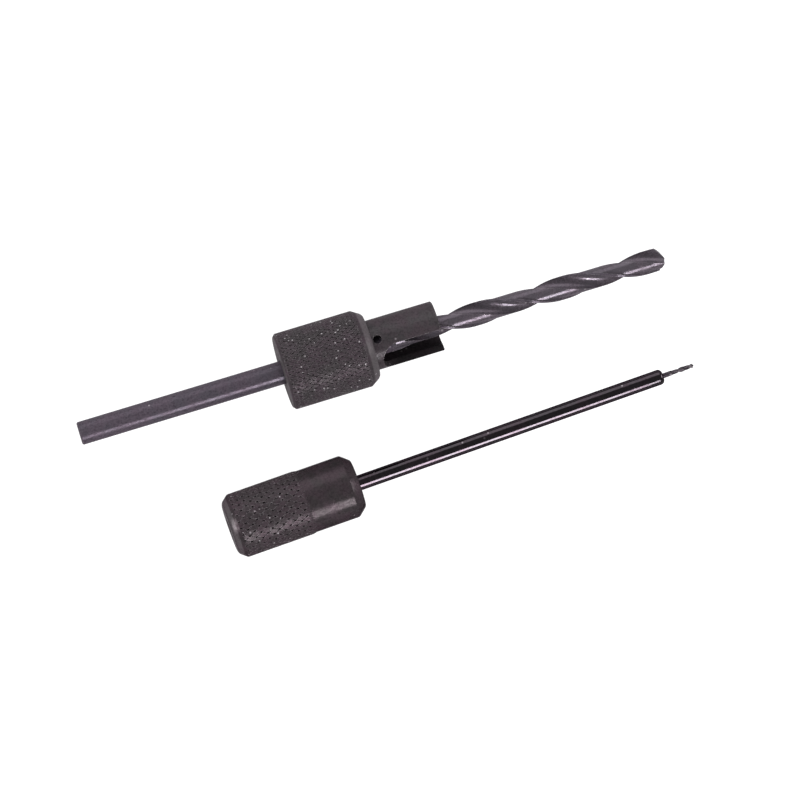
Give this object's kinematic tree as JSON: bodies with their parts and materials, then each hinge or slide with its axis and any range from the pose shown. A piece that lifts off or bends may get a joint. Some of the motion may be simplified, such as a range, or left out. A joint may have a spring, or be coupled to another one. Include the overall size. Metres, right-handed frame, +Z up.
{
  "type": "pin vise drill",
  "caption": "Pin vise drill set: a long twist drill held in a knurled collet nut with a slotted stop sleeve, and a long-reach pin vise: knurled handle, slim spindle, fine drill.",
  "frame": {"origin": "centre of the pair's outline on the bench top", "axes": "+Z up from the bench, +X along the big drill towards its tip, +Y from the pin vise towards the big drill"},
  "size_m": [0.1234, 0.0415, 0.0159],
  "materials": {
    "black_steel": "black oxide, satin",
    "polished_black_steel": "black oxide over a polished ground surface",
    "drill_steel": "black oxide drill steel, satin",
    "spring_steel": "hardened spring steel, plain",
    "screw_steel": "black oxide, satin",
    "pad_brass": "plain"
  },
  "bodies": {
    "sleeve": {"stop_sleeve": "black_steel"},
    "collet": {"collet": "spring_steel"},
    "nut": {"knurled_nut": "black_steel"},
    "drill": {"twist_drill": "drill_steel"},
    "vise_handle": {"handle": "black_steel"},
    "spindle": {"spindle": "polished_black_steel", "fine_drill": "drill_steel"},
    "pad": {"clamp_pad": "pad_brass"},
    "screw": {"clamp_screw": "screw_steel"}
  },
  "joints": [
    {"name": "collet_slide", "type": "slide", "parent": "sleeve", "child": "collet", "axis": [-1, 0, 0], "range_m": [0, 0.00159]},
    {"name": "nut_turn", "type": "hinge", "parent": "collet", "child": "nut", "pos_m": [-0.00953, 0.0128, 0.00794], "axis": [-1, 0, 0], "range_deg": [0, 720.01]},
    {"name": "drill_slide", "type": "slide", "parent": "sleeve", "child": "drill", "axis": [1, 0, 0], "range_m": [-0.006, 0.03]},
    {"name": "pair_lift", "type": "slide", "parent": "sleeve", "child": "vise_handle", "axis": [0, 0, 1], "range_m": [0, 0.06]},
    {"name": "spindle_slide", "type": "slide", "parent": "vise_handle", "child": "spindle", "axis": [0.999, 0.0436, 0], "range_m": [-0.05, 0.012]},
    {"name": "pad_slide", "type": "slide", "parent": "vise_handle", "child": "pad", "axis": [0, 0, -1], "range_m": [0, 0.0005]},
    {"name": "screw_turn", "type": "hinge", "parent": "pad", "child": "screw", "pos_m": [-0.01685, -0.01326, 0.00267], "axis": [0, 0, -1], "range_deg": [0, 360.01]}
  ],
  "couplings": [
    {"joint": "nut_turn", "follows": "collet_slide", "rad_per_m": 7915.8},
    {"joint": "screw_turn", "follows": "pad_slide", "rad_per_m": 12566}
  ]
}
